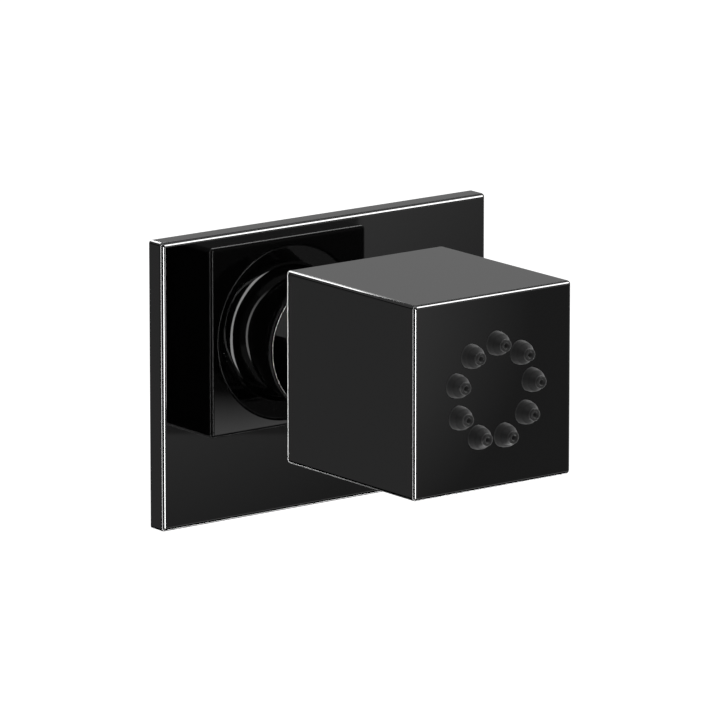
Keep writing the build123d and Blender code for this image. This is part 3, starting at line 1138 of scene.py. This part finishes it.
@dataclass
class Studio:
    """Camera, floor, backdrop, lamps and cards."""

    target: tuple[float, float, float] = (15.02 * MM, 0.0, -7.59 * MM)
    azimuth: float = -37.41  # degrees
    elevation: float = 12.8  # degrees
    distance: float = 2.0671
    lens: float = 400.0
    sensor: float = 36.0
    clip_end: float = 100.0
    floor_z: float = -0.35
    floor_size: float = 30.0
    floor_shade: float = 0.9
    floor_rough: float = 0.9
    floor_glow: float = 0.5
    ambient: float = 0.7
    tent_radius: float = 1.15
    tent_sides: int = 96
    tent_level: float = 0.3
    soft_lamp: Panel = Panel("soft_lamp", (0, 0, 0), (-0.5, -0.6, 0.9), 1.5, 0.8, 0.8, 2.0)
    cards: tuple[Panel, ...] = (
        Panel("left_strip", (0, 0, 0), (-0.3745, -0.9, -0.2215), 1.0, 0.17, 0.3, 45.0),
        Panel("top_strip", (0, 0, 0), (0.5925, -0.579, 0.56), 1.0, 0.5, 0.4, 17.0),
        Panel("high_strip", (0, 0, 0), (0.0, 0.7745, 0.6326), 1.0, 0.3, 0.1, 13.0),
        Panel(
            "hoop", (0, -0.0115, 0), (0, 1, 0), 0.0, 0.6, 0.6,
            2.2, 30.0, (-0.212, 0.212), 0.3, 0.5, 0.0085,
        ),
        Panel(
            "back_hoop", (0, -0.0215, 0), (0.5925, 0.7745, -0.2215), 0.25, 0.548, 0.548,
            38.0, 1.5, (0.265, 0.071), 0.2, 0.3, 0.018,
        ),
        Panel(
            "side_card", (0, 0, 0), (-0.5925, 0.7745, -0.2215), 0.6, 0.5, 0.5,
            0.19, 0.0, (0.126, 0.0), 0.13, 0.17,
        ),
        Panel("under_card", (0, -0.012, 0), (-0.4, 0.6, -0.69), 0.3, 0.2, 0.2, 0.0),
        Panel("low_card", (0.3, 0, 0), (0, 0, -1), 0.34, 0.6, 0.9, 0.0),
        Panel("top_card", (0, 0, 0), (0.5925, 0.7745, 0.2215), 0.6, 0.4, 0.4, 0.38),
        Panel(
            "front_card", (0, 0, 0), (0.5925, -0.7745, -0.2215), 0.9, 0.6, 0.6,
            1.0, 0.14, (-0.27, 0.369), 0.0, 0.528,
        ),
        Panel(
            "face_card", (0, -0.0745, 0), (0.5925, -0.7745, -0.2215), 0.4, 0.1, 0.08,
            0.867, 0.125, (-1.03, 0.33), 0.0, 1.216,
        ),
        Panel("dark_card", (0, 0, 0), (-0.5925, -0.7745, -0.2215), 0.7, 0.2, 0.2, 0.0),
        Panel(
            "gap_card", (0, -0.0215, 0), (0.5925, 0.7745, -0.2215), 0.5, 0.075, 0.075,
            0.2, 7.0, (0.5, 0.9), 1.15, 1.33,
        ),
    )

    def build(self) -> None:
        """Sets up the whole studio."""
        self.camera()
        self.world()
        self.floor()
        self.lamp(self.soft_lamp)
        for card in self.cards:
            self.card(card)
        self.tent()

    def camera(self) -> None:
        """Stands the camera at the photograph's angle."""
        az, el = math.radians(self.azimuth), math.radians(self.elevation)
        away = Vector((math.sin(az) * math.cos(el), -math.cos(az) * math.cos(el), math.sin(el)))
        lens = bpy.data.cameras.new("camera")
        lens.lens = self.lens
        lens.sensor_width = self.sensor
        lens.clip_end = self.clip_end
        camera = bpy.data.objects.new("camera", lens)
        bpy.context.scene.collection.objects.link(camera)
        camera.location = Vector(self.target) + away * self.distance
        camera.rotation_euler = away.to_track_quat("Z", "Y").to_euler()
        bpy.context.scene.camera = camera

    def world(self) -> None:
        """Fills the world with soft light, and with white where it is seen or mirrored."""
        world = bpy.data.worlds.new("studio")
        bpy.context.scene.world = world
        world.use_nodes = True
        nodes, links = world.node_tree.nodes, world.node_tree.links
        seen = self.seen(nodes, links)
        strength = nodes.new("ShaderNodeMapRange")
        Nodes.fill(strength, {"To Min": self.ambient, "To Max": 1.0})
        links.new(seen, strength.inputs["Value"])
        background = nodes["Background"]
        background.inputs["Color"].default_value = WHITE
        links.new(strength.outputs["Result"], background.inputs["Strength"])

    def seen(self, nodes: bpy.types.Nodes, links: NodeLinks) -> NodeSocket:
        """Adds a mask of the rays that see or mirror the background.

        Args:
            nodes: The tree's nodes.
            links: The tree's links.

        Returns:
            The socket with the mask.
        """
        rays = nodes.new("ShaderNodeLightPath")
        mask = rays.outputs["Is Camera Ray"]
        for ray in ("Is Glossy Ray", "Is Transmission Ray"):
            larger = nodes.new("ShaderNodeMath")
            larger.operation = "MAXIMUM"
            links.new(mask, larger.inputs[0])
            links.new(rays.outputs[ray], larger.inputs[1])
            mask = larger.outputs["Value"]
        return mask

    def floor(self) -> None:
        """Lays the pale floor, well under the jet, which hangs on a wall."""
        bpy.ops.mesh.primitive_plane_add(size=self.floor_size, location=(0, 0, self.floor_z))
        floor = bpy.context.object
        floor.name = "floor"
        nodes, links, shader = self.paint(floor, "floor_paint", self.floor_shade)
        shader.inputs["Roughness"].default_value = self.floor_rough
        glow = nodes.new("ShaderNodeMapRange")
        glow.inputs["To Max"].default_value = self.floor_glow
        links.new(self.seen(nodes, links), glow.inputs["Value"])
        links.new(glow.outputs["Result"], shader.inputs["Emission Strength"])

    def lamp(self, panel: Panel) -> None:
        """Puts up a soft lamp, which the camera doesn't see."""
        light = bpy.data.lights.new(panel.name, "AREA")
        light.shape = "RECTANGLE"
        light.size = panel.width
        light.size_y = panel.height
        light.energy = panel.level * math.pi * panel.width * panel.height
        lamp = bpy.data.objects.new(panel.name, light)
        bpy.context.scene.collection.objects.link(lamp)
        panel.put_up(lamp)
        lamp.visible_camera = False

    def card(self, panel: Panel) -> None:
        """Puts up a card or ring that only reflections see."""
        if panel.tube:
            bpy.ops.mesh.primitive_torus_add(
                major_radius=panel.width / 2, minor_radius=panel.tube, major_segments=ROUND_STEPS
            )
        else:
            bpy.ops.mesh.primitive_plane_add(size=1)
            bpy.context.object.scale = (panel.width, panel.height, 1)
        card = bpy.context.object
        card.name = panel.name
        panel.put_up(card)
        nodes, links, shader = self.glow(card, panel.level)
        if panel.far_level is not None:
            place = nodes.new("ShaderNodeTexCoord")
            away = nodes.new("ShaderNodeVectorMath")
            away.operation = "DISTANCE"
            away.inputs[1].default_value = (*panel.start, 0)
            fade = nodes.new("ShaderNodeMapRange")
            Nodes.fill(fade, {
                "From Min": panel.near,
                "From Max": panel.reach,
                "To Min": panel.level,
                "To Max": panel.far_level,
            })
            links.new(place.outputs["Object"], away.inputs[0])
            links.new(away.outputs["Value"], fade.inputs["Value"])
            links.new(fade.outputs["Result"], shader.inputs["Emission Strength"])

    def tent(self) -> None:
        """Puts up a grey tent round the jet that only reflections see."""
        bpy.ops.mesh.primitive_cylinder_add(
            vertices=self.tent_sides,
            radius=self.tent_radius,
            depth=2 * self.tent_radius,
            end_fill_type="NOTHING",
        )
        tent = bpy.context.object
        tent.name = "tent"
        tent.location.z = self.tent_radius + self.floor_z
        self.glow(tent, self.tent_level)

    def paint(self, thing: Object, name: str, shade: float) -> Paint:
        """Gives a thing a paint that can glow and doesn't shine.

        Args:
            thing: The thing.
            name: The paint's name.
            shade: The paint's grey, from 0 for black to 1 for white.

        Returns:
            The paint's nodes, links and shader.
        """
        paint = bpy.data.materials.new(name)
        paint.use_nodes = True
        nodes, links = paint.node_tree.nodes, paint.node_tree.links
        shader = nodes["Principled BSDF"]
        Nodes.fill(shader, {
            "Base Color": (shade, shade, shade, 1),
            "Specular IOR Level": 0.0,
            "Emission Color": WHITE,
        })
        thing.data.materials.append(paint)
        return nodes, links, shader

    def glow(self, thing: Object, level: float) -> Paint:
        """Gives a card its even glow and hides it from all but reflections.

        Args:
            thing: The card.
            level: Its brightness.

        Returns:
            The nodes, links and shader of its paint.
        """
        nodes, links, shader = self.paint(thing, thing.name, 0.0)
        shader.inputs["Emission Strength"].default_value = level
        thing.visible_camera = False
        thing.visible_diffuse = False
        thing.visible_shadow = False
        thing.visible_transmission = False
        return nodes, links, shader


def main() -> None:
    """Builds the jet and its studio."""
    logging.basicConfig(level=logging.INFO, format="%(name)s: %(message)s")
    bpy.context.scene.view_settings.view_transform = "Standard"
    for assembly in (WallPlate(), Inlet(), BallStem(), Head(), Studio()):
        assembly.build()
        LOG.info("%s is done", type(assembly).__name__)


if __name__ == "__main__":
    main()
